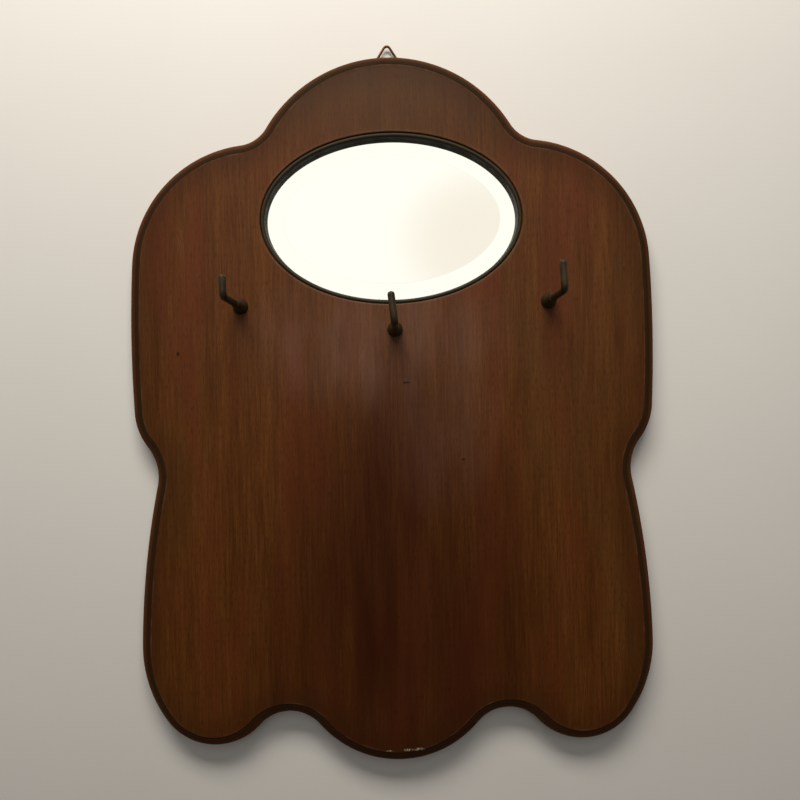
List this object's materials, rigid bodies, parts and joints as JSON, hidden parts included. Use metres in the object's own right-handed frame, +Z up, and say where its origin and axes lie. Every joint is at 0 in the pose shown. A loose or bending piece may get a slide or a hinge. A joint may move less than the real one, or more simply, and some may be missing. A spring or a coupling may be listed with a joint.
{
  "type": "hall mirror with coat hooks",
  "caption": "Wall-hung hall mirror with coat hooks: shaped wooden board with a moulded edge, recessed bevelled oval mirror, bent iron hooks and a hinged hanging ring.",
  "frame": {"origin": "centreline of the board's flat back, at half the board's height", "axes": "+Z up the board, +X to the right as seen from the front, +Y out of the back into the wall; the face with the mirror and hooks looks along -Y"},
  "size_m": [0.4342, 0.0798, 0.5992],
  "materials": {
    "board_wood": "dark stained, satin french polish, rubbed at the edges",
    "ebonised_wood": "ebonised, satin",
    "mirror": "silvered bevelled plate",
    "strawboard": "grey-brown card, matte",
    "panel_wood": "bare thin board, matte",
    "pin_steel": "dulled steel",
    "hook_iron": "blackened, lightly rubbed",
    "collar_iron": "blackened",
    "hanger_brass": "tarnished",
    "ring_wire": "tarnished, coppery",
    "screw_brass": "tarnished"
  },
  "bodies": {
    "wall_board": {"board": "board_wood", "mirror_slip": "ebonised_wood", "mirror_glass": "mirror", "mirror_packing": "strawboard", "mirror_back_panel": "panel_wood", "back_panel_pins": "pin_steel", "hook_left": "hook_iron", "hook_centre": "hook_iron", "hook_right": "hook_iron", "collar_left": "collar_iron", "collar_centre": "collar_iron", "collar_right": "collar_iron", "hanger_plate": "hanger_brass", "hanger_screws": "screw_brass"},
    "hanging_ring": {"hanger_ring": "ring_wire"}
  },
  "joints": [
    {"name": "ring_fold", "type": "hinge", "parent": "wall_board", "child": "hanging_ring", "pos_m": [0, -0.0027, 0.2805], "axis": [-1, 0, 0], "range_deg": [0, 160]}
  ]
}
